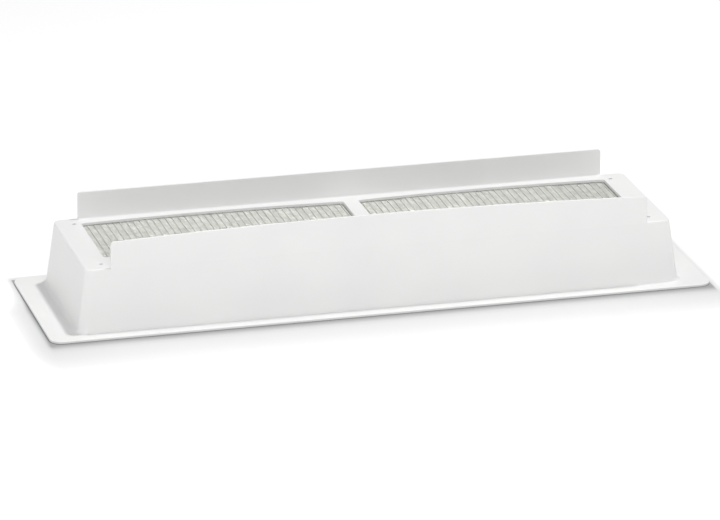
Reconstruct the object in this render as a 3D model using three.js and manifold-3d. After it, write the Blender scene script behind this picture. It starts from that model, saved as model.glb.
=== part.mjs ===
// Roof vent base for a caravan's absorption refrigerator: one white moulding with a flat flange,
// hollow drafted walls and two long windows, and a welded wire screen under each window.
// Millimetres, +Z up, +X along the length. The origin is the middle of the flange's underside.
import * as THREE from "three";
import { mergeVertices } from "three/addons/utils/BufferGeometryUtils.js";
import Module from "manifold-3d";

const wasm = await Module();
wasm.setup();

// ---- driving dimensions ----
// top plate and walls
const PLATE_LENGTH = 607;
const PLATE_WIDTH = 161;
const PLATE_HEIGHT = 68; // top face of the plate above the roof
const PLATE_THICKNESS = 3;
const WALL = 2.5;
const END_DRAFT = 9.5; // how far an end wall leans out from plate to foot
const SIDE_DRAFT = 5.5;
const PLATE_CORNER = 8; // plan radius at the plate
const FOOT_CORNER = 10; // plan radius at the foot
const PLATE_EDGE = 1.4; // rounding of the plate's outer edge

// flange on the roof
const END_FLANGE = 30;
const SIDE_FLANGE = 14;
const FLANGE_THICKNESS = 3;
const FLANGE_CORNER = 13;
const FLANGE_EDGE = 1;
const END_FOOT_RADIUS = 5; // hollow rounding between the flange and an end wall
const SIDE_FOOT_RADIUS = 1.2;

// upright lips that carry the cap
const LIP_THICKNESS = 2.6;
const LIP_END_MARGIN = 25.5; // from the plate's end to the lip's end
const FRONT_LIP_HEIGHT = 27.4; // at its ends
const FRONT_LIP_CROWN = 5.5; // extra height of the front lip at its middle
const REAR_LIP_HEIGHT = 28.6;
const REAR_LIP_CROWN = 0;
const LIP_CORNER = 3.5;
const LIP_FILLET = 3;
const LIP_FILLET_SHORT = 0.5; // how far the fillet stops short of each lip end

// two windows with a bar between them
const WINDOW_FROM_BOSS = 3.2; // from the cap bosses to the windows' ends
const WINDOW_FRONT_MARGIN = 35.2;
const WINDOW_BOW = 4.5; // how far a window's long edges swell at their middle
const WINDOW_CORNER = 4;
const BAR_WIDTH = 16;
const BAR_SHIFT = 5; // the bar's middle, measured from the plate's middle

// four blind holes for the cap's screws, each in a boss under the plate
const CAP_HOLE = 4.2;
const CAP_HOLE_DEPTH = 10;
const CAP_BOSS_WALL = 1.9;
const CAP_BOSS_FLOOR = 5; // left below the hole
const CAP_HOLE_FROM_END = 18.8;
const CAP_HOLE_FROM_SIDE = 16.5;

// welded wire screens under the plate
const WIRE = 1;
const WIRE_PITCH = 6.8; // of the wires along the depth
const CROSS_PITCH = 3.4; // of the closer wires along the length
const WIRES_PER_BAR = 3; // the lattice here has one bar for this many wires along the depth
const CROSS_WIRES_PER_BAR = 6; // and for this many along the length
const SCREEN_THICKNESS = 1.8; // two crossing layers of wire, pressed together by the weld
const SCREEN_PAST_PIN = 2.5; // from the pins' middles to the screen's long edges

// moulded pins and the push-on retainers that hold the screens
const PIN = 2.4;
const PIN_FROM_WINDOW = 4; // from the window's widest line to the pin's middle
const PIN_FROM_END = 20; // from the window's end to the outer pins
const PIN_TAIL = 1.6; // how far a pin stands out below its retainer
const RETAINER = 7;
const RETAINER_THICKNESS = 1;

// gaps between pieces
const SCREEN_GAP = 0.3; // screen to plate
const SCREEN_BOSS_GAP = 1; // screen to the cap bosses
const SCREENS_APART = 3; // screen to screen, under the bar
const PIN_GAP = 0.35; // round a pin, in the screen and in its retainer
const RETAINER_GAP = 0.3; // retainer to screen
const RETAINER_WALL_GAP = 1.3; // rear retainers to the wall behind them

// smoothness of round shapes
const CORNER_STEPS = 8;
const WINDOW_STEPS = 10;
const LIP_STEPS = 12;
const FILLET_STEPS = 4;
const EDGE_STEPS = 3;
const FLANGE_EDGE_STEPS = 2;
const END_FOOT_STEPS = 5;
const SIDE_FOOT_STEPS = 2;
const LEAST_RISE = 0.2; // closest that two levels of the walls come
const BOSS_SIDES = 16;
const PIN_SIDES = 12;
const CUT_EXTRA = 5; // how far a cutter runs past the face that it opens
const SUNK = 1; // how far a joined piece runs into its neighbour

// ---- dependent dimensions ----
const bodyLength = PLATE_LENGTH + 2 * END_DRAFT;
const bodyWidth = PLATE_WIDTH + 2 * SIDE_DRAFT;
const flangeLength = bodyLength + 2 * END_FLANGE;
const flangeWidth = bodyWidth + 2 * SIDE_FLANGE;
const plateUnderside = PLATE_HEIGHT - PLATE_THICKNESS;
const lipLength = PLATE_LENGTH - 2 * LIP_END_MARGIN;
const capHoleX = PLATE_LENGTH / 2 - CAP_HOLE_FROM_END;
const capHoleY = PLATE_WIDTH / 2 - CAP_HOLE_FROM_SIDE;
const capBoss = CAP_HOLE + 2 * CAP_BOSS_WALL;
const capBossBottom = PLATE_HEIGHT - CAP_HOLE_DEPTH - CAP_BOSS_FLOOR;
const rearPinRow = PLATE_WIDTH / 2 - WALL - RETAINER_WALL_GAP - RETAINER / 2;
const windowRear = rearPinRow - PIN_FROM_WINDOW - WINDOW_BOW;
const windowFront = -PLATE_WIDTH / 2 + WINDOW_FRONT_MARGIN;
const frontPinRow = windowFront - WINDOW_BOW - PIN_FROM_WINDOW;
const windowEnd = capHoleX - capBoss / 2 - WINDOW_FROM_BOSS;
const barSpacing = WIRE_PITCH * WIRES_PER_BAR;
const crossBarSpacing = CROSS_PITCH * CROSS_WIRES_PER_BAR;
const screenTop = plateUnderside - SCREEN_GAP;
const screenBottom = screenTop - SCREEN_THICKNESS;
const retainerTop = screenBottom - RETAINER_GAP;
const retainerBottom = retainerTop - RETAINER_THICKNESS;
const screenFront = frontPinRow - SCREEN_PAST_PIN;
const screenRear = rearPinRow + SCREEN_PAST_PIN;
const screenEnd = capHoleX - capBoss / 2 - SCREEN_BOSS_GAP;
const windows = [
  { side: "left", x0: -windowEnd, x1: BAR_SHIFT - BAR_WIDTH / 2, screen0: -screenEnd,
    screen1: BAR_SHIFT - SCREENS_APART / 2 },
  { side: "right", x0: BAR_SHIFT + BAR_WIDTH / 2, x1: windowEnd, screen0: BAR_SHIFT + SCREENS_APART / 2,
    screen1: screenEnd },
];

// ---- shape helpers ----
// A closed geometry as a solid that can be joined and cut.
function solid(geometry) {
  const bare = geometry.clone();
  bare.deleteAttribute("normal");
  bare.deleteAttribute("uv");
  const merged = mergeVertices(bare, 1e-4);
  const vertProperties = new Float32Array(merged.attributes.position.array);
  const triVerts = new Uint32Array(merged.index.array);
  return new wasm.Manifold(new wasm.Mesh({ numProp: 3, vertProperties, triVerts }));
}

function geometryOf(shape) {
  const mesh = shape.getMesh();
  const geometry = new THREE.BufferGeometry();
  geometry.setAttribute("position", new THREE.BufferAttribute(mesh.vertProperties, 3));
  geometry.setIndex(new THREE.BufferAttribute(mesh.triVerts, 1));
  return geometry;
}

// The points of a rectangle with rounded corners, anticlockwise.
function roundedRectangle(length, width, radius) {
  const points = [];
  const corners = [[1, 1], [-1, 1], [-1, -1], [1, -1]];
  corners.forEach(([sx, sy], i) => {
    const cx = sx * (length / 2 - radius);
    const cy = sy * (width / 2 - radius);
    for (let k = 0; k <= CORNER_STEPS; k++) {
      const angle = (i + k / CORNER_STEPS) * Math.PI / 2;
      points.push([cx + radius * Math.cos(angle), cy + radius * Math.sin(angle)]);
    }
  });
  return points;
}

// A closed skin through rounded rectangles at rising heights: [z, length, width, radius].
function loft(sections) {
  const rings = sections.map(([z, ...size]) => roundedRectangle(...size).map(([x, y]) => [x, y, z]));
  const count = rings[0].length;
  const index = [];
  for (let r = 0; r + 1 < rings.length; r++) {
    for (let i = 0; i < count; i++) {
      const a = r * count + i;
      const b = r * count + (i + 1) % count;
      index.push(a, b, b + count, a, b + count, a + count);
    }
  }
  const top = (rings.length - 1) * count;
  for (let i = 1; i + 1 < count; i++) {
    index.push(0, i + 1, i, top, top + i, top + i + 1);
  }
  const geometry = new THREE.BufferGeometry();
  geometry.setAttribute("position", new THREE.Float32BufferAttribute(rings.flat(2), 3));
  geometry.setIndex(index);
  return solid(geometry);
}

// An upright prism on a plan outline, from height z0 to z1.
function prism(outline, z0, z1, curveSegments) {
  const settings = { depth: z1 - z0, bevelEnabled: false, curveSegments };
  return solid(new THREE.ExtrudeGeometry(outline, settings).translate(0, 0, z0));
}

function cylinder(diameter, sides, x, y, z0, z1) {
  const geometry = new THREE.CylinderGeometry(diameter / 2, diameter / 2, z1 - z0, sides);
  geometry.rotateX(Math.PI / 2);
  return solid(geometry.translate(x, y, (z0 + z1) / 2));
}

function box(x0, x1, y0, y1, z0, z1) {
  const geometry = new THREE.BoxGeometry(x1 - x0, y1 - y0, z1 - z0);
  return solid(geometry.translate((x0 + x1) / 2, (y0 + y1) / 2, (z0 + z1) / 2));
}

// ---- base moulding ----
// How far a hollow foot rounding of this radius stands out, at height h above the flange.
function flare(radius, h) {
  if (h >= radius) return 0;
  return radius - Math.sqrt(radius * radius - (radius - h) ** 2);
}

// Levels up a hollow foot rounding, closest together at the bottom, where it turns most.
function footLevels(radius, steps) {
  const levels = [];
  for (let k = 0; k <= steps; k++) {
    levels.push(FLANGE_THICKNESS + radius * (1 - Math.cos(k / steps * Math.PI / 2)));
  }
  return levels;
}

// The outside of the walls and plate, with the hollow roundings at the foot.
function outerBody() {
  const endLevels = footLevels(END_FOOT_RADIUS, END_FOOT_STEPS);
  const sideLevels = footLevels(SIDE_FOOT_RADIUS, SIDE_FOOT_STEPS);
  const levels = [...endLevels, ...sideLevels].sort((a, b) => a - b);
  const rising = levels.filter((z, i) => i === 0 || z - levels[i - 1] >= LEAST_RISE);
  const sections = rising.map((z) => {
    const end = flare(END_FOOT_RADIUS, z - FLANGE_THICKNESS);
    const side = flare(SIDE_FOOT_RADIUS, z - FLANGE_THICKNESS);
    return wallSection(z, end, side);
  });
  sections.unshift([FLANGE_THICKNESS - SUNK, ...sections[0].slice(1)]);
  for (let k = 0; k <= EDGE_STEPS; k++) {
    const angle = k / EDGE_STEPS * Math.PI / 2;
    const inset = PLATE_EDGE * (1 - Math.cos(angle));
    const z = PLATE_HEIGHT - PLATE_EDGE * (1 - Math.sin(angle));
    sections.push(wallSection(z, -inset, -inset));
  }
  return loft(sections);
}

// A level cut through the drafted walls, made larger by endOut and sideOut on each side.
function wallSection(z, endOut, sideOut) {
  const lean = 1 - z / PLATE_HEIGHT;
  const radius = PLATE_CORNER + (FOOT_CORNER - PLATE_CORNER) * lean;
  const length = PLATE_LENGTH + 2 * END_DRAFT * lean + 2 * endOut;
  const width = PLATE_WIDTH + 2 * SIDE_DRAFT * lean + 2 * sideOut;
  return [z, length, width, radius + Math.min(endOut, sideOut, 0)];
}

function innerHollow() {
  const sections = [-CUT_EXTRA, plateUnderside].map((z) => wallSection(z, -WALL, -WALL));
  return loft(sections);
}

function flange() {
  const sections = [[0, flangeLength, flangeWidth, FLANGE_CORNER]];
  for (let k = 0; k <= FLANGE_EDGE_STEPS; k++) {
    const angle = k / FLANGE_EDGE_STEPS * Math.PI / 2;
    const inset = FLANGE_EDGE * (1 - Math.cos(angle));
    const z = FLANGE_THICKNESS - FLANGE_EDGE * (1 - Math.sin(angle));
    sections.push([z, flangeLength - 2 * inset, flangeWidth - 2 * inset, FLANGE_CORNER - inset]);
  }
  return loft(sections);
}

// One upright lip, flush with the plate's long edge, with its root rounded into the plate.
function lip(side, height, crown) {
  const shape = blade(height, crown).add(rootFillet());
  return side > 0 ? shape : shape.rotate([0, 0, 180]);
}

function blade(height, crown) {
  const half = lipLength / 2;
  const top = PLATE_HEIGHT + height;
  const root = PLATE_HEIGHT - PLATE_EDGE - SUNK;
  const outline = new THREE.Shape();
  outline.moveTo(-half, root);
  outline.lineTo(half, root);
  outline.lineTo(half, top - LIP_CORNER);
  outline.absarc(half - LIP_CORNER, top - LIP_CORNER, LIP_CORNER, 0, Math.PI / 2);
  outline.quadraticCurveTo(0, top + 2 * crown, -half + LIP_CORNER, top);
  outline.absarc(-half + LIP_CORNER, top - LIP_CORNER, LIP_CORNER, Math.PI / 2, Math.PI);
  const settings = { depth: LIP_THICKNESS, bevelEnabled: false, curveSegments: LIP_STEPS };
  const geometry = new THREE.ExtrudeGeometry(outline, settings).rotateX(Math.PI / 2);
  return solid(geometry.translate(0, PLATE_WIDTH / 2, 0));
}

// A strip with one hollow side, drawn as (distance from the lip, height) and run along the lip.
function rootFillet() {
  const r = LIP_FILLET;
  const length = lipLength - 2 * LIP_FILLET_SHORT;
  const outline = new THREE.Shape();
  outline.moveTo(-SUNK, -SUNK);
  outline.lineTo(r, -SUNK);
  outline.lineTo(r, 0);
  outline.absarc(r, r, r, -Math.PI / 2, Math.PI, true);
  outline.lineTo(-SUNK, r);
  const away = new THREE.Vector3(0, -1, 0);
  const up = new THREE.Vector3(0, 0, 1);
  const along = new THREE.Vector3(-1, 0, 0);
  const settings = { depth: length, bevelEnabled: false, curveSegments: FILLET_STEPS };
  const geometry = new THREE.ExtrudeGeometry(outline, settings);
  geometry.applyMatrix4(new THREE.Matrix4().makeBasis(away, up, along));
  return solid(geometry.translate(length / 2, PLATE_WIDTH / 2 - LIP_THICKNESS, PLATE_HEIGHT));
}

// The plan outline of one window, its long edges swelling a little at the middle.
function windowOutline({ x0, x1 }) {
  const r = WINDOW_CORNER;
  const middle = (x0 + x1) / 2;
  const outline = new THREE.Shape();
  outline.moveTo(x0 + r, windowFront);
  outline.quadraticCurveTo(middle, windowFront - 2 * WINDOW_BOW, x1 - r, windowFront);
  outline.absarc(x1 - r, windowFront + r, r, -Math.PI / 2, 0);
  outline.lineTo(x1, windowRear - r);
  outline.absarc(x1 - r, windowRear - r, r, 0, Math.PI / 2);
  outline.quadraticCurveTo(middle, windowRear + 2 * WINDOW_BOW, x0 + r, windowRear);
  outline.absarc(x0 + r, windowRear - r, r, Math.PI / 2, Math.PI);
  outline.lineTo(x0, windowFront + r);
  outline.absarc(x0 + r, windowFront + r, r, Math.PI, 3 * Math.PI / 2);
  return outline;
}

// The middles of the cap's screw holes.
function capHoles() {
  return [[-1, -1], [1, -1], [1, 1], [-1, 1]].map(([sx, sy]) => [sx * capHoleX, sy * capHoleY]);
}

// The middles of the pins that hold one screen: three in front of its window and three behind.
function pinPlaces({ x0, x1 }) {
  const columns = [x0 + PIN_FROM_END, (x0 + x1) / 2, x1 - PIN_FROM_END];
  return [frontPinRow, rearPinRow].flatMap((y) => columns.map((x) => [x, y]));
}

function baseMoulding() {
  let base = flange().add(outerBody()).subtract(innerHollow());
  base = base.add(lip(-1, FRONT_LIP_HEIGHT, FRONT_LIP_CROWN));
  base = base.add(lip(1, REAR_LIP_HEIGHT, REAR_LIP_CROWN));
  for (const window of windows) {
    const [low, high] = [plateUnderside - CUT_EXTRA, PLATE_HEIGHT + CUT_EXTRA];
    base = base.subtract(prism(windowOutline(window), low, high, WINDOW_STEPS));
    for (const [x, y] of pinPlaces(window)) {
      base = base.add(cylinder(PIN, PIN_SIDES, x, y, retainerBottom - PIN_TAIL, plateUnderside + SUNK));
    }
  }
  for (const [x, y] of capHoles()) {
    const holeBottom = PLATE_HEIGHT - CAP_HOLE_DEPTH;
    base = base.add(cylinder(capBoss, BOSS_SIDES, x, y, capBossBottom, plateUnderside + SUNK));
    base = base.subtract(cylinder(CAP_HOLE, BOSS_SIDES, x, y, holeBottom, PLATE_HEIGHT + CUT_EXTRA));
  }
  return geometryOf(base);
}

// ---- screens ----
// Places for bars this far apart between lo and hi, centred on the opening.
function barPlaces(lo, hi, step) {
  const count = Math.floor((hi - lo) / 2 / step);
  const middle = (lo + hi) / 2;
  return Array.from({ length: 2 * count + 1 }, (_, i) => middle + (i - count) * step);
}

// A flat lattice that fills the window, in a plain margin that lies under the plate.
function screen(window) {
  const { x0, x1, screen0, screen1 } = window;
  const [cutLow, cutHigh] = [screenBottom - CUT_EXTRA, screenTop + CUT_EXTRA];
  const [barLow, barHigh] = [cutLow - SUNK, cutHigh + SUNK];
  let openings = prism(windowOutline(window), cutLow, cutHigh, WINDOW_STEPS);
  for (const x of barPlaces(x0, x1, barSpacing)) {
    openings = openings.subtract(box(x - WIRE / 2, x + WIRE / 2, screenFront, screenRear, barLow, barHigh));
  }
  for (const y of barPlaces(windowFront, windowRear, crossBarSpacing)) {
    openings = openings.subtract(box(screen0, screen1, y - WIRE / 2, y + WIRE / 2, barLow, barHigh));
  }
  let sheet = box(screen0, screen1, screenFront, screenRear, screenBottom, screenTop).subtract(openings);
  for (const [x, y] of pinPlaces(window)) {
    sheet = sheet.subtract(cylinder(PIN + 2 * PIN_GAP, PIN_SIDES, x, y, cutLow, cutHigh));
  }
  return geometryOf(sheet);
}

// ---- push-on retainer: a small ring, turned about its own axis ----
function retainer() {
  const bore = PIN / 2 + PIN_GAP;
  const rim = RETAINER / 2;
  const profile = [[bore, 0], [rim, 0], [rim, RETAINER_THICKNESS], [bore, RETAINER_THICKNESS], [bore, 0]];
  const geometry = new THREE.LatheGeometry(profile.map(([r, z]) => new THREE.Vector2(r, z)), PIN_SIDES);
  return geometryOf(solid(geometry.rotateX(Math.PI / 2)));
}

// ---- materials ----
const whitePlastic = new THREE.MeshStandardMaterial({ color: 0xf1f1ef, roughness: 0.42, metalness: 0 });
const screenWire = new THREE.MeshStandardMaterial({ color: 0xc9cbc4, roughness: 0.45, metalness: 0.6 });
const springSteel = new THREE.MeshStandardMaterial({ color: 0x8e9196, roughness: 0.35, metalness: 1 });

// ---- assembly ----
function part(name, geometry, material) {
  const mesh = new THREE.Mesh(geometry, material);
  mesh.name = name;
  return mesh;
}

const vent = new THREE.Group();
vent.add(part("base_moulding", baseMoulding(), whitePlastic));
for (const window of windows) {
  vent.add(part(`screen_${window.side}`, screen(window), screenWire));
  pinPlaces(window).forEach(([x, y], i) => {
    const ring = part(`screen_retainer_${window.side}_${i + 1}`, retainer(), springSteel);
    ring.position.set(x, y, retainerBottom);
    vent.add(ring);
  });
}

export default vent;
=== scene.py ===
import math
import random

import bmesh
import bpy
from mathutils import Matrix, Vector


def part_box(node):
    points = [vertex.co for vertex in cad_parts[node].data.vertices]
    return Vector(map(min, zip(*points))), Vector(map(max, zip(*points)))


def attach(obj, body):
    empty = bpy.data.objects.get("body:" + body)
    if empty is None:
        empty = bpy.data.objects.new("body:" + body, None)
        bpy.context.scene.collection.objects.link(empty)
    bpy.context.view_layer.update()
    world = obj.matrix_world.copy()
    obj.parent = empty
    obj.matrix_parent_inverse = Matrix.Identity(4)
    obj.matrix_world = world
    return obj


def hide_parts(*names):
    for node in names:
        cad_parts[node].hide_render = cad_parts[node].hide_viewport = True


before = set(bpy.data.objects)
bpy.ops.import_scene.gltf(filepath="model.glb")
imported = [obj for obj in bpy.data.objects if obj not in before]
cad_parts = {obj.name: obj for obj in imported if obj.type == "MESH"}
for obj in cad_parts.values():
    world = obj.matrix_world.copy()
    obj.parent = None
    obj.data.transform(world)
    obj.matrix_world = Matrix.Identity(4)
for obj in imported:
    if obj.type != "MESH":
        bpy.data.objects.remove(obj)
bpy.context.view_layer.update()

MM = 0.001
QUARTER = math.pi / 2
TURN = 4 * QUARTER


def box_mm(node):
    """The lowest and highest corner of a frame node, in millimetres."""
    low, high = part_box(node)
    return [c / MM for c in low], [c / MM for c in high]


# ---- sizes that follow the frame ----
base_low, base_high = box_mm("base_moulding")
FLANGE_LENGTH = base_high[0] - base_low[0]
FLANGE_WIDTH = base_high[1] - base_low[1]
SIDES = ["left", "right"]
RETAINERS_PER_SCREEN = 6
SCREEN_BOXES = {side: box_mm(f"screen_{side}") for side in SIDES}
SCREEN_TOP = SCREEN_BOXES["left"][1][2]
SCREEN_BOTTOM = SCREEN_BOXES["left"][0][2]

# ---- sizes of the moulding ----
PLATE_LENGTH = 607
PLATE_WIDTH = 161
PLATE_HEIGHT = 68
PLATE_THICKNESS = 3
WALL = 2.5
END_DRAFT = 9.5
SIDE_DRAFT = 5.5
PLATE_CORNER = 8
FOOT_CORNER = 10
PLATE_EDGE = 1.4
INNER_EDGE = 1.5  # hollow rounding inside, where the walls meet the plate

FLANGE_THICKNESS = 3
FLANGE_CORNER = 13
FLANGE_TOP_EDGE = 0.8
FLANGE_BOTTOM_EDGE = 1.1

END_FOOT_RADIUS = 5  # hollow rounding between the flange and an end wall
SIDE_FOOT_RADIUS = 1.2

LIP_THICKNESS = 2.6
LIP_END_MARGIN = 25.5
FRONT_LIP_HEIGHT = 27.4
FRONT_LIP_CROWN = 5.5
REAR_LIP_HEIGHT = 28.6
REAR_LIP_CROWN = 0
LIP_CORNER = 3.5
LIP_EDGE = 0.7
LIP_FILLET = 3
LIP_FILLET_SHORT = 0.5

WINDOW_END = 277.5
WINDOW_FRONT = -45.3
WINDOW_REAR = 64.7
WINDOW_BOW = 4.5
WINDOW_CORNER = 4
WINDOW_RIM = 0.8
BAR_WIDTH = 16
BAR_MIDDLE = 5

CAP_HOLE = 4.2
CAP_HOLE_DEPTH = 10
CAP_HOLE_RIM = 0.5
CAP_BOSS = 8
CAP_BOSS_FLOOR = 5
CAP_BOSS_ROOT = 1.2  # rounding where a boss meets the plate
CAP_BOSS_TIP = 0.5  # slant round a boss's lower end
CAP_HOLE_X = 284.7
CAP_HOLE_Y = 64

PIN = 2.4
PIN_TIP = 0.5  # slant round a pin's end
PIN_TAIL = 1.6

# marks that the mould leaves under the plate
EJECTOR = 7
EJECTOR_DEPTH = 0.25
EJECTORS = 6  # in the row under the front strip
EJECTOR_SPACING = 92
EJECTOR_END_X = 289.5
EJECTOR_END_Y = 24

# ---- sizes of the wire cloth and its push nuts ----
WIRE = 1
WIRE_PITCH = 6.8  # of the wires that run along the depth
CROSS_PITCH = 3.4  # of the closer wires that run along the length
WIRE_END = 1.2  # how far cut wire ends stand out past the last crossing wire
WIRE_WANDER = 0.12  # how far a wire strays from its line
WIRE_WAVE = 125  # length of that stray
CLOTH_SAG = 0.5  # how far the cloth sags in the middle of its window
PIN_CLEAR = 0.15
NUT_SHEET = 0.35
NUT_RIM_DROP = 0.4  # how far the rim is turned down
NUT_RIM_BEND = 0.4  # and the width of that bend
NUT_BEND_MIDDLE = (0.3, 0.2)  # shares of the bend's width and of its drop half way round it
NUT_TEETH = 6
NUT_TOOTH_ROOT = 0.62  # share of the nut's radius where the teeth start
NUT_TOOTH_DROP = 0.45
NUT_TOOTH_MIDDLE = 0.4  # share of that drop half way along a tooth
NUT_TOOTH_STEPS = 6

# ---- smoothness ----
CORNER_STEPS = 12
EDGE_STEPS = 4
FOOT_STEPS = 7
BOW_STEPS = 28
ROUND_SIDES = 32
PIN_SIDES = 20
WIRE_SIDES = 10
SHARP_ANGLE = math.radians(32)
CUT_EXTRA = 5
SUNK = 1

PLATE_UNDERSIDE = PLATE_HEIGHT - PLATE_THICKNESS
LIP_LENGTH = PLATE_LENGTH - 2 * LIP_END_MARGIN
WINDOWS = {
    "left": (-WINDOW_END, BAR_MIDDLE - BAR_WIDTH / 2),
    "right": (BAR_MIDDLE + BAR_WIDTH / 2, WINDOW_END),
}


def retainer_nodes(side):
    return [f"screen_retainer_{side}_{i + 1}" for i in range(RETAINERS_PER_SCREEN)]


def pin_places(side):
    """The middles of the pins that hold one screen, and their retainers' undersides."""
    places = []
    for node in retainer_nodes(side):
        low, high = box_mm(node)
        places.append(((low[0] + high[0]) / 2, (low[1] + high[1]) / 2, low[2]))
    return places


# ---- mesh making ----
def turns(steps):
    """Angles from 0 to a quarter turn."""
    return [k / steps * QUARTER for k in range(steps + 1)]


def rectangle_ring(length, width, radius, z):
    """The points of a level rectangle with rounded corners."""
    ring = []
    for i, (sx, sy) in enumerate([(1, 1), (-1, 1), (-1, -1), (1, -1)]):
        cx = sx * (length / 2 - radius)
        cy = sy * (width / 2 - radius)
        for angle in turns(CORNER_STEPS):
            a = angle + i * QUARTER
            ring.append((cx + radius * math.cos(a), cy + radius * math.sin(a), z))
    return ring


def circle_ring(diameter, x, y, z, sides=ROUND_SIDES):
    ring = []
    for k in range(sides):
        a = TURN * k / sides
        ring.append((x + diameter / 2 * math.cos(a), y + diameter / 2 * math.sin(a), z))
    return ring


def add_skin(mesh, rings):
    """Joins rings of equally many points with four-sided faces, and closes both ends."""
    rows = [[mesh.verts.new(point) for point in ring] for ring in rings]
    count = len(rings[0])
    for low, high in zip(rows, rows[1:]):
        for i in range(count):
            j = (i + 1) % count
            mesh.faces.new((low[i], low[j], high[j], high[i]))
    mesh.faces.new(list(reversed(rows[0])))
    mesh.faces.new(rows[-1])


def finish_mesh(mesh, name):
    bmesh.ops.recalc_face_normals(mesh, faces=mesh.faces)
    data = bpy.data.meshes.new(name)
    mesh.to_mesh(data)
    mesh.free()
    thing = bpy.data.objects.new(name, data)
    bpy.context.scene.collection.objects.link(thing)
    return thing


def solid(name, rings):
    mesh = bmesh.new()
    add_skin(mesh, rings)
    return finish_mesh(mesh, name)


def settle(thing):
    """Makes the result of an object's modifiers its own mesh."""
    graph = bpy.context.evaluated_depsgraph_get()
    data = bpy.data.meshes.new_from_object(thing.evaluated_get(graph))
    old = thing.data
    thing.modifiers.clear()
    thing.data = data
    bpy.data.meshes.remove(old)


def combine(target, operation, others):
    """Joins the other solids to the target, or cuts them out of it, and removes them."""
    for other in others:
        step = target.modifiers.new("combine", "BOOLEAN")
        step.operation = operation
        step.solver = "EXACT"
        step.object = other
    settle(target)
    for other in others:
        bpy.data.meshes.remove(other.data)


def to_metres(thing):
    thing.data.transform(Matrix.Scale(MM, 4))


def smooth_shading(thing):
    """Rounded faces shade smoothly, flat faces stay flat, and real edges stay crisp."""
    thing.data.shade_smooth()
    thing.data.set_sharp_from_angle(angle=SHARP_ANGLE)
    weights = thing.modifiers.new("flat faces lead", "WEIGHTED_NORMAL")
    weights.keep_sharp = True
    settle(thing)


# ---- base moulding ----
def wall_ring(z, end_out, side_out):
    """A level ring round the drafted walls, made larger by end_out and side_out."""
    lean = 1 - z / PLATE_HEIGHT
    radius = PLATE_CORNER + (FOOT_CORNER - PLATE_CORNER) * lean + min(end_out, side_out, 0)
    length = PLATE_LENGTH + 2 * END_DRAFT * lean + 2 * end_out
    width = PLATE_WIDTH + 2 * SIDE_DRAFT * lean + 2 * side_out
    return rectangle_ring(length, width, radius, z)


def flare(radius, rise):
    """How far a hollow foot rounding stands out at this rise above the flange."""
    if rise >= radius:
        return 0
    return radius - math.sqrt(radius**2 - (radius - rise) ** 2)


def outer_body():
    rises = [END_FOOT_RADIUS * (1 - math.cos(a)) for a in turns(FOOT_STEPS)]
    rises += [SIDE_FOOT_RADIUS * (1 - math.cos(a)) for a in turns(EDGE_STEPS)[1:]]
    rings = []
    for rise in sorted(rises):
        end = flare(END_FOOT_RADIUS, rise)
        side = flare(SIDE_FOOT_RADIUS, rise)
        rings.append(wall_ring(FLANGE_THICKNESS + rise, end, side))
    rings.insert(0, [(x, y, z - SUNK) for x, y, z in rings[0]])
    for a in turns(EDGE_STEPS):
        inset = PLATE_EDGE * (1 - math.cos(a))
        z = PLATE_HEIGHT - PLATE_EDGE * (1 - math.sin(a))
        rings.append(wall_ring(z, -inset, -inset))
    return solid("outer_body", rings)


def inner_hollow():
    rings = [wall_ring(-CUT_EXTRA, -WALL, -WALL)]
    for a in turns(EDGE_STEPS):
        inset = WALL + INNER_EDGE * (1 - math.cos(a))
        z = PLATE_UNDERSIDE - INNER_EDGE * (1 - math.sin(a))
        rings.append(wall_ring(z, -inset, -inset))
    return solid("inner_hollow", rings)


def flange_ring(inset, z):
    return rectangle_ring(FLANGE_LENGTH - 2 * inset, FLANGE_WIDTH - 2 * inset, FLANGE_CORNER - inset, z)


def flange():
    rings = []
    for a in turns(EDGE_STEPS):
        inset = FLANGE_BOTTOM_EDGE * (1 - math.sin(a))
        z = FLANGE_BOTTOM_EDGE * (1 - math.cos(a))
        rings.append(flange_ring(inset, z))
    for a in turns(EDGE_STEPS):
        inset = FLANGE_TOP_EDGE * (1 - math.cos(a))
        z = FLANGE_THICKNESS - FLANGE_TOP_EDGE * (1 - math.sin(a))
        rings.append(flange_ring(inset, z))
    return solid("flange", rings)


def curve_points(start, control, end, steps):
    """Points along a curve with one control point, both ends left out."""
    points = []
    for k in range(1, steps):
        t = k / steps
        weights = ((1 - t) ** 2, 2 * t * (1 - t), t * t)
        points.append(tuple(sum(w * p[i] for w, p in zip(weights, (start, control, end))) for i in (0, 1)))
    return points


def arc_points(x, y, radius, first_turn, steps=CORNER_STEPS):
    """A quarter circle that starts first_turn quarter turns round."""
    return [
        (x + radius * math.cos(a + first_turn * QUARTER), y + radius * math.sin(a + first_turn * QUARTER))
        for a in turns(steps)
    ]


def lip(side, height, crown):
    """An upright lip with rounded edges, flush with the plate's long edge."""
    root = PLATE_HEIGHT - PLATE_EDGE - SUNK

    def ring(inset, y):
        half = LIP_LENGTH / 2 - inset
        top = PLATE_HEIGHT + height - inset
        radius = LIP_CORNER - inset
        points = [(-half, root), (half, root)]
        points += arc_points(half - radius, top - radius, radius, 0)
        left = (-half + radius, top)
        points += curve_points((half - radius, top), (0, top + 2 * crown), left, BOW_STEPS)
        points += arc_points(-half + radius, top - radius, radius, 1)
        return [(x, side * y, z) for x, z in points]

    inner = PLATE_WIDTH / 2 - LIP_THICKNESS
    rings = []
    for a in turns(EDGE_STEPS):
        rings.append(ring(LIP_EDGE * (1 - math.sin(a)), inner + LIP_EDGE * (1 - math.cos(a))))
    for a in turns(EDGE_STEPS):
        rings.append(ring(LIP_EDGE * (1 - math.cos(a)), PLATE_WIDTH / 2 - LIP_EDGE * (1 - math.sin(a))))
    return solid("lip", rings)


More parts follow.
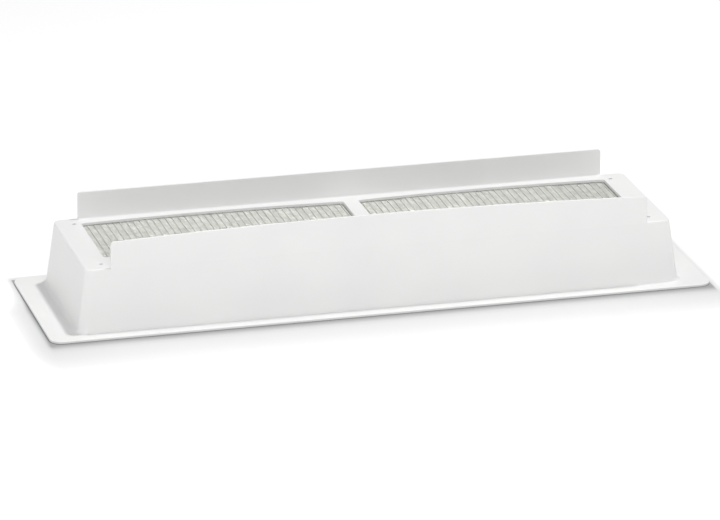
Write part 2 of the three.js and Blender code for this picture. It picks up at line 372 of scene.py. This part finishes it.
def root_fillet(side):
    """A strip with one hollow side that rounds a lip's root into the plate."""
    inner = PLATE_WIDTH / 2 - LIP_THICKNESS
    profile = [(-SUNK, LIP_FILLET), (-SUNK, -SUNK), (LIP_FILLET, -SUNK)]
    for a in turns(FOOT_STEPS):
        profile.append((LIP_FILLET * (1 - math.sin(a)), LIP_FILLET * (1 - math.cos(a))))
    half = LIP_LENGTH / 2 - LIP_FILLET_SHORT
    rings = [[(x, side * (inner - away), PLATE_HEIGHT + up) for away, up in profile] for x in (-half, half)]
    return solid("root_fillet", rings)


def window_ring(x0, x1, grow, z):
    """The outline of a window, its long edges swelling a little at the middle."""
    radius = WINDOW_CORNER + grow
    left, right = x0 - grow, x1 + grow
    front, rear = WINDOW_FRONT - grow, WINDOW_REAR + grow
    middle = (x0 + x1) / 2
    inner_left, inner_right = left + radius, right - radius
    front_swell, rear_swell = (middle, front - 2 * WINDOW_BOW), (middle, rear + 2 * WINDOW_BOW)
    points = arc_points(inner_left, front + radius, radius, 2)
    points += curve_points((inner_left, front), front_swell, (inner_right, front), BOW_STEPS)
    points += arc_points(inner_right, front + radius, radius, 3)
    points += arc_points(inner_right, rear - radius, radius, 0)
    points += curve_points((inner_right, rear), rear_swell, (inner_left, rear), BOW_STEPS)
    points += arc_points(inner_left, rear - radius, radius, 1)
    return [(x, y, z) for x, y in points]


def window_cut(side):
    """A cutter whose widening top rounds the window's upper rim."""
    x0, x1 = WINDOWS[side]
    rings = [window_ring(x0, x1, 0, PLATE_UNDERSIDE - CUT_EXTRA)]
    for a in turns(EDGE_STEPS):
        grow = WINDOW_RIM * (1 - math.cos(a))
        rings.append(window_ring(x0, x1, grow, PLATE_HEIGHT - WINDOW_RIM * (1 - math.sin(a))))
    rings.append(window_ring(x0, x1, WINDOW_RIM, PLATE_HEIGHT + CUT_EXTRA))
    return solid("window_cut", rings)


def cap_holes():
    return [(sx * CAP_HOLE_X, sy * CAP_HOLE_Y) for sx in (-1, 1) for sy in (-1, 1)]


def cap_boss(x, y):
    bottom = PLATE_HEIGHT - CAP_HOLE_DEPTH - CAP_BOSS_FLOOR
    rings = [
        circle_ring(CAP_BOSS - 2 * CAP_BOSS_TIP, x, y, bottom),
        circle_ring(CAP_BOSS, x, y, bottom + CAP_BOSS_TIP),
    ]
    for a in turns(EDGE_STEPS):
        out = CAP_BOSS_ROOT * (1 - math.cos(a))
        z = PLATE_UNDERSIDE - CAP_BOSS_ROOT * (1 - math.sin(a))
        rings.append(circle_ring(CAP_BOSS + 2 * out, x, y, z))
    rings.append(circle_ring(CAP_BOSS + 2 * CAP_BOSS_ROOT, x, y, PLATE_UNDERSIDE + SUNK))
    return solid("cap_boss", rings)


def cap_hole_cut(x, y):
    rings = [circle_ring(CAP_HOLE, x, y, PLATE_HEIGHT - CAP_HOLE_DEPTH)]
    for a in turns(EDGE_STEPS):
        out = CAP_HOLE_RIM * (1 - math.cos(a))
        rings.append(circle_ring(CAP_HOLE + 2 * out, x, y, PLATE_HEIGHT - CAP_HOLE_RIM * (1 - math.sin(a))))
    rings.append(circle_ring(CAP_HOLE + 2 * CAP_HOLE_RIM, x, y, PLATE_HEIGHT + CUT_EXTRA))
    return solid("cap_hole_cut", rings)


def screen_pin(x, y, retainer_bottom):
    tip = retainer_bottom - PIN_TAIL
    rings = [
        circle_ring(PIN - 2 * PIN_TIP, x, y, tip, PIN_SIDES),
        circle_ring(PIN, x, y, tip + PIN_TIP, PIN_SIDES),
        circle_ring(PIN, x, y, PLATE_UNDERSIDE + SUNK, PIN_SIDES),
    ]
    return solid("screen_pin", rings)


def ejector_marks():
    """Shallow round marks in two rows under the front strip and at the plate's ends."""
    front_strip = (-PLATE_WIDTH / 2 + WINDOW_FRONT) / 2
    places = [((k - (EJECTORS - 1) / 2) * EJECTOR_SPACING, front_strip) for k in range(EJECTORS)]
    places += [(sx * EJECTOR_END_X, sy * EJECTOR_END_Y) for sx in (-1, 1) for sy in (-1, 1)]
    marks = []
    for x, y in places:
        low = circle_ring(EJECTOR, x, y, PLATE_UNDERSIDE - CUT_EXTRA)
        high = circle_ring(EJECTOR, x, y, PLATE_UNDERSIDE + EJECTOR_DEPTH)
        marks.append(solid("ejector_mark", [low, high]))
    return marks


def base_moulding():
    base = flange()
    combine(base, "UNION", [outer_body()])
    combine(base, "DIFFERENCE", [inner_hollow()])
    lips = [lip(-1, FRONT_LIP_HEIGHT, FRONT_LIP_CROWN), lip(1, REAR_LIP_HEIGHT, REAR_LIP_CROWN)]
    combine(base, "UNION", lips + [root_fillet(-1), root_fillet(1)])
    combine(base, "DIFFERENCE", [window_cut(side) for side in SIDES])
    combine(base, "DIFFERENCE", ejector_marks())
    pins = [screen_pin(*place) for side in SIDES for place in pin_places(side)]
    combine(base, "UNION", pins + [cap_boss(x, y) for x, y in cap_holes()])
    combine(base, "DIFFERENCE", [cap_hole_cut(x, y) for x, y in cap_holes()])
    to_metres(base)
    smooth_shading(base)
    return base


# ---- wire cloth ----
def wire_tube(mesh, points, radius):
    """A round wire through points, with flat cut ends."""
    rings = []
    for i, point in enumerate(points):
        ahead = points[min(i + 1, len(points) - 1)] - points[max(i - 1, 0)]
        across = ahead.cross(Vector((0, 0, 1))).normalized()
        up = across.cross(ahead).normalized()
        ring = []
        for k in range(WIRE_SIDES):
            a = TURN * k / WIRE_SIDES
            ring.append(point + radius * (math.cos(a) * across + math.sin(a) * up))
        rings.append(ring)
    add_skin(mesh, rings)


def wire_places(low, high, pitch):
    """Even places for wires between low and high, with a cut end left past the last ones."""
    count = int((high - low - 2 * WIRE_END) / pitch)
    middle = (low + high) / 2
    return [middle + (i - count / 2) * pitch for i in range(count + 1)]


def spaced(low, high, step):
    """Places from low to high, about this step apart."""
    count = max(2, round((high - low) / step))
    return [low + (high - low) * k / count for k in range(count + 1)]


def sag(side, x, y):
    """The cloth hangs a little inside its window and lies flat under the plate."""
    x0, x1 = WINDOWS[side]
    u = (x - x0) / (x1 - x0)
    v = (y - WINDOW_FRONT) / (WINDOW_REAR - WINDOW_FRONT)
    if not (0 < u < 1 and 0 < v < 1):
        return 0
    return -CLOTH_SAG * math.sin(math.pi * u) ** 0.5 * math.sin(math.pi * v)


def pushed_aside(place, along, pins):
    """How far a wire at this place is bent aside by the pins near the point along it."""
    reach = PIN / 2 + WIRE / 2 + PIN_CLEAR
    for pin_place, pin_along in pins:
        off = place - pin_place
        near = abs(along - pin_along) / WIRE_PITCH
        if abs(off) < reach and near < 1:
            return math.copysign(reach - abs(off), off) * math.cos(near * QUARTER) ** 2
    return 0


def wandering(chance):
    """One wire's slight stray from its line, as a function of the distance along it."""
    reach = chance.uniform(-WIRE_WANDER, WIRE_WANDER)
    start = chance.uniform(0, WIRE_WAVE)

    def stray(along):
        return reach * math.sin(TURN * (along + start) / WIRE_WAVE)

    return stray


def wire_cloth(side):
    """Straight wires along the depth, welded on top of wires along the length."""
    (x0, y0), (x1, y1) = [corner[:2] for corner in SCREEN_BOXES[side]]
    pins = [place[:2] for place in pin_places(side)]
    pins_turned = [(y, x) for x, y in pins]
    chance = random.Random(f"{side} wire cloth")
    mesh = bmesh.new()
    top, bottom = SCREEN_TOP - WIRE / 2, SCREEN_BOTTOM + WIRE / 2
    for x in wire_places(x0, x1, WIRE_PITCH):
        stray = wandering(chance)
        points = []
        for y in spaced(y0, y1, WIRE_PITCH / 2):
            off = pushed_aside(x, y, pins) + stray(y)
            points.append(Vector((x + off, y, top + sag(side, x, y))))
        wire_tube(mesh, points, WIRE / 2)
    for y in wire_places(y0, y1, CROSS_PITCH):
        stray = wandering(chance)
        points = []
        for x in spaced(x0, x1, WIRE_PITCH / 2):
            off = pushed_aside(y, x, pins_turned) + stray(x)
            points.append(Vector((x, y + off, bottom + sag(side, x, y))))
        wire_tube(mesh, points, WIRE / 2)
    cloth = finish_mesh(mesh, f"wire_cloth_{side}")
    to_metres(cloth)
    smooth_shading(cloth)
    return cloth


# ---- push nuts ----
def push_nut(name, node):
    """A pressed sheet disc with sprung teeth round its bore and a turned-down rim."""
    low, high = box_mm(node)
    x, y = (low[0] + high[0]) / 2, (low[1] + high[1]) / 2
    outer = (high[0] - low[0]) / 2
    tooth_root = outer * NUT_TOOTH_ROOT
    bore = PIN / 2
    bend_in, bend_down = NUT_BEND_MIDDLE
    bend = [(outer - bend_in * NUT_RIM_BEND, -bend_down * NUT_RIM_DROP), (outer - NUT_RIM_BEND, 0)]
    disc = [(outer, -NUT_RIM_DROP), *bend, (tooth_root, 0)]
    tooth = [((tooth_root + bore) / 2, -NUT_TOOTH_MIDDLE * NUT_TOOTH_DROP), (bore, -NUT_TOOTH_DROP)]
    count = NUT_TEETH * NUT_TOOTH_STEPS
    mesh = bmesh.new()

    def row(radius, drop, first, length):
        angles = [TURN * k / count for k in range(first, first + length)]
        return [
            mesh.verts.new((x + radius * math.cos(a), y + radius * math.sin(a), high[2] + drop))
            for a in angles
        ]

    def join(far, near, length):
        for k in range(length):
            m = (k + 1) % len(far)
            mesh.faces.new((far[k], far[m], near[m], near[k]))

    rings = [row(radius, drop, 0, count) for radius, drop in disc]
    for far, near in zip(rings, rings[1:]):
        join(far, near, count)
    for first in range(0, count, NUT_TOOTH_STEPS):
        far = rings[-1][first:first + NUT_TOOTH_STEPS]
        for radius, drop in tooth:
            near = row(radius, drop, first, NUT_TOOTH_STEPS)
            join(far, near, NUT_TOOTH_STEPS - 1)
            far = near
    nut = finish_mesh(mesh, name)
    sheet = nut.modifiers.new("sheet", "SOLIDIFY")
    sheet.thickness = NUT_SHEET
    sheet.offset = -1
    settle(nut)
    to_metres(nut)
    smooth_shading(nut)
    return nut


# ---- materials ----
# spacing of each pattern, in millimetres
MOULD_FLOW = 90  # shade of the plastic from thicker to thinner places
MOULD_SINK = 55  # unevenness of the broad faces
MOULD_GRAIN = 0.9  # the tool's grain is about 0.05 and too fine to show, so it is drawn coarser
ZINC_SPANGLE = 4
ZINC_PATCHES = 9
ROLLING_STREAKS = 0.3  # the real streaks are about 0.05 and too fine to show, so they are drawn coarser
STREAK_STRETCH = (0.15, 1, 1)  # share of the scale along the rolling direction, and across it


def linear(hex_colour):
    """An sRGB hex colour as linear red, green, blue and alpha."""
    channels = [int(hex_colour[i:i + 2], 16) / 255 for i in (0, 2, 4)]
    return (*[c / 12.92 if c <= 0.04045 else ((c + 0.055) / 1.055) ** 2.4 for c in channels], 1)


def add(tree, kind, settings=None, *ordered, **named):
    """Adds a node, sets it up, and sets or links its inputs, given in order or by name (_ for a space).
    The setting "stops" gives a colour ramp's positions and colours."""
    made = tree.nodes.new(kind)
    for key, value in (settings or {}).items():
        if key == "stops":
            marks = made.color_ramp.elements
            while len(marks) < len(value):
                marks.new(1)
            for mark, (position, colour) in zip(marks, value):
                mark.position = position
                mark.color = linear(colour)
        else:
            setattr(made, key, value)
    sockets = list(zip(made.inputs, ordered))
    sockets += [(made.inputs[key.replace("_", " ")], value) for key, value in named.items()]
    for socket, value in sockets:
        if isinstance(value, bpy.types.NodeSocket):
            tree.links.new(value, socket)
        else:
            socket.default_value = value
    return made


def new_material(name):
    material = bpy.data.materials.new(name)
    material.use_nodes = True
    tree = material.node_tree
    tree.nodes.clear()
    return material, tree


def waves_per_metre(spacing_mm):
    """A texture scale that repeats about once in this spacing."""
    return 1 / (spacing_mm * MM)


def moulded_asa():
    """White ASA, injection moulded in a lightly spark-eroded tool: a clean satin white whose broad faces
    are very slightly uneven, with a fine even grain that takes the glare off."""
    material, tree = new_material("moulded_white_asa")
    place = add(tree, "ShaderNodeTexCoord").outputs["Object"]
    flow = add(tree, "ShaderNodeTexNoise", Vector=place, Scale=waves_per_metre(MOULD_FLOW), Detail=2)
    sink = add(tree, "ShaderNodeTexNoise", Vector=place, Scale=waves_per_metre(MOULD_SINK), Detail=1)
    grain = add(tree, "ShaderNodeTexNoise", Vector=place, Scale=waves_per_metre(MOULD_GRAIN), Detail=2)
    whites = {"stops": [(0.3, "E4E4E4"), (0.7, "E8E8E7")]}
    colour = add(tree, "ShaderNodeValToRGB", whites, flow.outputs["Fac"])
    rough = add(tree, "ShaderNodeMapRange", Value=grain.outputs["Fac"], To_Min=0.4, To_Max=0.54)
    uneven = add(tree, "ShaderNodeBump", Height=sink.outputs["Fac"], Strength=0.25, Distance=0.15 * MM)
    fine = add(tree, "ShaderNodeBump", Height=grain.outputs["Fac"], Strength=0.3, Distance=0.02 * MM,
               Normal=uneven.outputs["Normal"])
    shader = add(tree, "ShaderNodeBsdfPrincipled", Base_Color=colour.outputs["Color"],
                 Roughness=rough.outputs["Result"], IOR=1.51, Normal=fine.outputs["Normal"])
    add(tree, "ShaderNodeOutputMaterial", Surface=shader.outputs["BSDF"])
    return material


def galvanised_wire():
    """Galvanised steel wire, hot dipped after welding: a dull light grey zinc coat, faintly green,
    with a patchy spangle that makes each wire a little lighter and darker along its length."""
    material, tree = new_material("galvanised_steel_wire")
    place = add(tree, "ShaderNodeTexCoord").outputs["Object"]
    spangle = add(tree, "ShaderNodeTexVoronoi", Vector=place, Scale=waves_per_metre(ZINC_SPANGLE))
    patches = add(tree, "ShaderNodeTexNoise", Vector=place, Scale=waves_per_metre(ZINC_PATCHES), Detail=3)
    greys = {"stops": [(0.3, "CACBC5"), (0.7, "DFE0DA")]}
    colour = add(tree, "ShaderNodeValToRGB", greys, patches.outputs["Fac"])
    rough = add(tree, "ShaderNodeMapRange", Value=spangle.outputs["Distance"], To_Min=0.38, To_Max=0.6)
    bump = add(tree, "ShaderNodeBump", Height=patches.outputs["Fac"], Strength=0.4, Distance=0.05 * MM)
    shader = add(tree, "ShaderNodeBsdfPrincipled", Base_Color=colour.outputs["Color"], Metallic=0.4,
                 Roughness=rough.outputs["Result"], Normal=bump.outputs["Normal"])
    add(tree, "ShaderNodeOutputMaterial", Surface=shader.outputs["BSDF"])
    return material


def plated_spring_steel():
    """Zinc plated spring steel, pressed from sheet: a cool bright grey with fine rolling streaks."""
    material, tree = new_material("zinc_plated_spring_steel")
    place = add(tree, "ShaderNodeTexCoord").outputs["Object"]
    drawn_out = add(tree, "ShaderNodeMapping", Vector=place, Scale=STREAK_STRETCH).outputs["Vector"]
    streaks = add(tree, "ShaderNodeTexNoise", Vector=drawn_out, Scale=waves_per_metre(ROLLING_STREAKS),
                  Detail=3)
    greys = {"stops": [(0.3, "9A9DA3"), (0.7, "BBBDC2")]}
    colour = add(tree, "ShaderNodeValToRGB", greys, streaks.outputs["Fac"])
    rough = add(tree, "ShaderNodeMapRange", Value=streaks.outputs["Fac"], To_Min=0.25, To_Max=0.42)
    shader = add(tree, "ShaderNodeBsdfPrincipled", Base_Color=colour.outputs["Color"], Metallic=1,
                 Roughness=rough.outputs["Result"])
    add(tree, "ShaderNodeOutputMaterial", Surface=shader.outputs["BSDF"])
    return material


def studio_sweep():
    """Matt white studio sweep whose colour holds a painted shadow close round the flange: a dark line at
    the edge that fades to white, painted widest in front and to the left, away from the key light. It does
    not follow the lights. It is white again under the hollow."""
    material, tree = new_material("white_sweep_with_painted_shadow")
    half = Vector((FLANGE_LENGTH / 2 * MM, FLANGE_WIDTH / 2 * MM, 0))
    inner = -SHADE_INSIDE * MM
    none = (0, 0, 0)
    place = add(tree, "ShaderNodeTexCoord").outputs["Object"]
    far = add(tree, "ShaderNodeVectorMath", {"operation": "SUBTRACT"}, place, half).outputs["Vector"]
    near = add(tree, "ShaderNodeVectorMath", {"operation": "MULTIPLY_ADD"}, place, (-1, -1, 0), -half)
    near = near.outputs["Vector"]
    past_far = add(tree, "ShaderNodeVectorMath", {"operation": "MAXIMUM"}, far, none)
    past_near = add(tree, "ShaderNodeVectorMath", {"operation": "MAXIMUM"}, near, none)
    depth = add(tree, "ShaderNodeSeparateXYZ", None, place).outputs["Y"]
    at_left = add(tree, "ShaderNodeMapRange", {"interpolation_type": "SMOOTHSTEP"}, depth, 0,
                  FLANGE_WIDTH / 2 * MM, *SHADE_LEFT)
    front_left = add(tree, "ShaderNodeCombineXYZ", X=at_left.outputs["Result"], Y=1)
    near_part = add(tree, "ShaderNodeVectorMath", {"operation": "MULTIPLY"}, past_near.outputs["Vector"],
                    front_left.outputs["Vector"])
    spread = add(tree, "ShaderNodeVectorMath", {"operation": "MULTIPLY_ADD"}, past_far.outputs["Vector"],
                 SHADE_REAR_RIGHT, near_part.outputs["Vector"])
    away = add(tree, "ShaderNodeVectorMath", {"operation": "LENGTH"}, spread.outputs["Vector"])
    share = add(tree, "ShaderNodeMapRange", None, away.outputs["Value"], 0, SHADE_WIDTH * MM)
    past = add(tree, "ShaderNodeVectorMath", {"operation": "MAXIMUM"}, near, far).outputs["Vector"]
    sides = add(tree, "ShaderNodeSeparateXYZ", None, past).outputs
    nearest = add(tree, "ShaderNodeMath", {"operation": "MAXIMUM"}, sides["X"], sides["Y"])
    under = add(tree, "ShaderNodeMapRange", None, nearest.outputs["Value"], 2 * inner, inner, 1, 0)
    open_air = add(tree, "ShaderNodeMath", {"operation": "ADD"}, share.outputs["Result"],
                   under.outputs["Result"])
    # The sweep's colour is a painted shadow round the flange, grey at its edge and fading to white.
    colour = add(tree, "ShaderNodeValToRGB", {"stops": SHADE}, open_air.outputs["Value"])
    shader = add(tree, "ShaderNodeBsdfPrincipled", Base_Color=colour.outputs["Color"], Roughness=0.9,
                 Specular_IOR_Level=0.1)
    add(tree, "ShaderNodeOutputMaterial", Surface=shader.outputs["BSDF"])
    return material


# ---- pieces ----
def place_piece(piece, material, material_slot, *nodes):
    piece.data.materials.clear()
    piece.data.materials.append(material)
    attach(piece, "root")
    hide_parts(*nodes)


def make_pieces():
    base = base_moulding()
    base.name = "base_moulding_detailed"
    place_piece(base, moulded_asa(), "white_plastic", "base_moulding")
    wire = galvanised_wire()
    steel = plated_spring_steel()
    for side in SIDES:
        place_piece(wire_cloth(side), wire, "screen_wire", f"screen_{side}")
        for i, node in enumerate(retainer_nodes(side)):
            nut = push_nut(f"push_nut_{side}_{i + 1}", node)
            place_piece(nut, steel, "spring_steel", node)


# ---- studio ----
FLOOR_SIZE = 30  # metres
AMBIENT = 0.43  # brightness of the white room
# Sizes of the painted shadow that the sweep's colour draws round the flange.
SHADE_WIDTH = 85  # of the sweep's shade in front of the long side
SHADE_INSIDE = 16  # and inside the outline
SHADE_LEFT = (3, 14)  # how many times narrower it is along the left end's front half, and at its rear
SHADE_REAR_RIGHT = (10, 8, 0)  # and at the right end and behind
# The painted shadow's greys: colour drawn into the sweep, not cast by the lights.
SHADE = [  # share of the shade's width, and how white the sweep is there
    (0.03, "A2A2A2"),
    (0.1, "BEBEBE"),
    (0.17, "D2D2D2"),
    (0.26, "DBDBDB"),
    (0.5, "E2E2E2"),
    (0.75, "EBEBEB"),
    (0.92, "F7F7F7"),
    (1.0, "FDFDFD"),
]

CAMERA_AZIMUTH = math.radians(-14.94)
CAMERA_ELEVATION = math.radians(19.11)
CAMERA_DISTANCE = 5.2439
CAMERA_ACROSS = -1.89 * MM
CAMERA_UP = 23.79 * MM
CAMERA_LENS = 257.1
CAMERA_SENSOR = 36
CAMERA_SEES_TO = 100  # metres


def direction(azimuth, elevation):
    """The direction from the object towards an azimuth and elevation. Azimuth 0 is in front."""
    level = math.cos(elevation)
    return Vector((math.sin(azimuth) * level, -math.cos(azimuth) * level, math.sin(elevation)))


def make_camera():
    camera = bpy.data.objects.new("camera", bpy.data.cameras.new("camera"))
    bpy.context.scene.collection.objects.link(camera)
    back = direction(CAMERA_AZIMUTH, CAMERA_ELEVATION)
    facing = back.to_track_quat("Z", "Y")
    across = facing @ Vector((1, 0, 0))
    up = facing @ Vector((0, 1, 0))
    camera.rotation_mode = "QUATERNION"
    camera.rotation_quaternion = facing
    camera.location = back * CAMERA_DISTANCE + across * CAMERA_ACROSS + up * CAMERA_UP
    camera.data.lens = CAMERA_LENS
    camera.data.sensor_width = CAMERA_SENSOR
    camera.data.clip_end = CAMERA_SEES_TO
    bpy.context.scene.camera = camera


def make_floor():
    mesh = bmesh.new()
    bmesh.ops.create_grid(mesh, x_segments=1, y_segments=1, size=FLOOR_SIZE / 2)
    floor = finish_mesh(mesh, "floor")
    floor.data.materials.append(studio_sweep())


def softbox(name, azimuth, elevation, distance, size, power):
    """A square light that faces the object. Angles are in degrees, distance and size in metres."""
    light = bpy.data.lights.new(name, "AREA")
    light.shape = "SQUARE"
    light.size = size
    light.energy = power
    lamp = bpy.data.objects.new(name, light)
    bpy.context.scene.collection.objects.link(lamp)
    towards = direction(math.radians(azimuth), math.radians(elevation))
    lamp.location = towards * distance
    lamp.rotation_mode = "QUATERNION"
    lamp.rotation_quaternion = towards.to_track_quat("Z", "Y")


def make_lights():
    scene = bpy.context.scene
    world = bpy.data.worlds.new("studio")
    scene.world = world
    world.use_nodes = True
    background = world.node_tree.nodes["Background"]
    background.inputs["Color"].default_value = linear("FFFFFF")
    background.inputs["Strength"].default_value = AMBIENT
    softbox("key_softbox", azimuth=106, elevation=76.6, distance=3.6, size=0.23, power=68)
    softbox("front_fill", azimuth=-4, elevation=27, distance=3, size=2, power=33.5)
    softbox("left_fill", azimuth=-100, elevation=18, distance=3, size=2, power=18)
    scene.view_settings.view_transform = "Standard"


make_camera()
make_floor()
make_lights()
make_pieces()
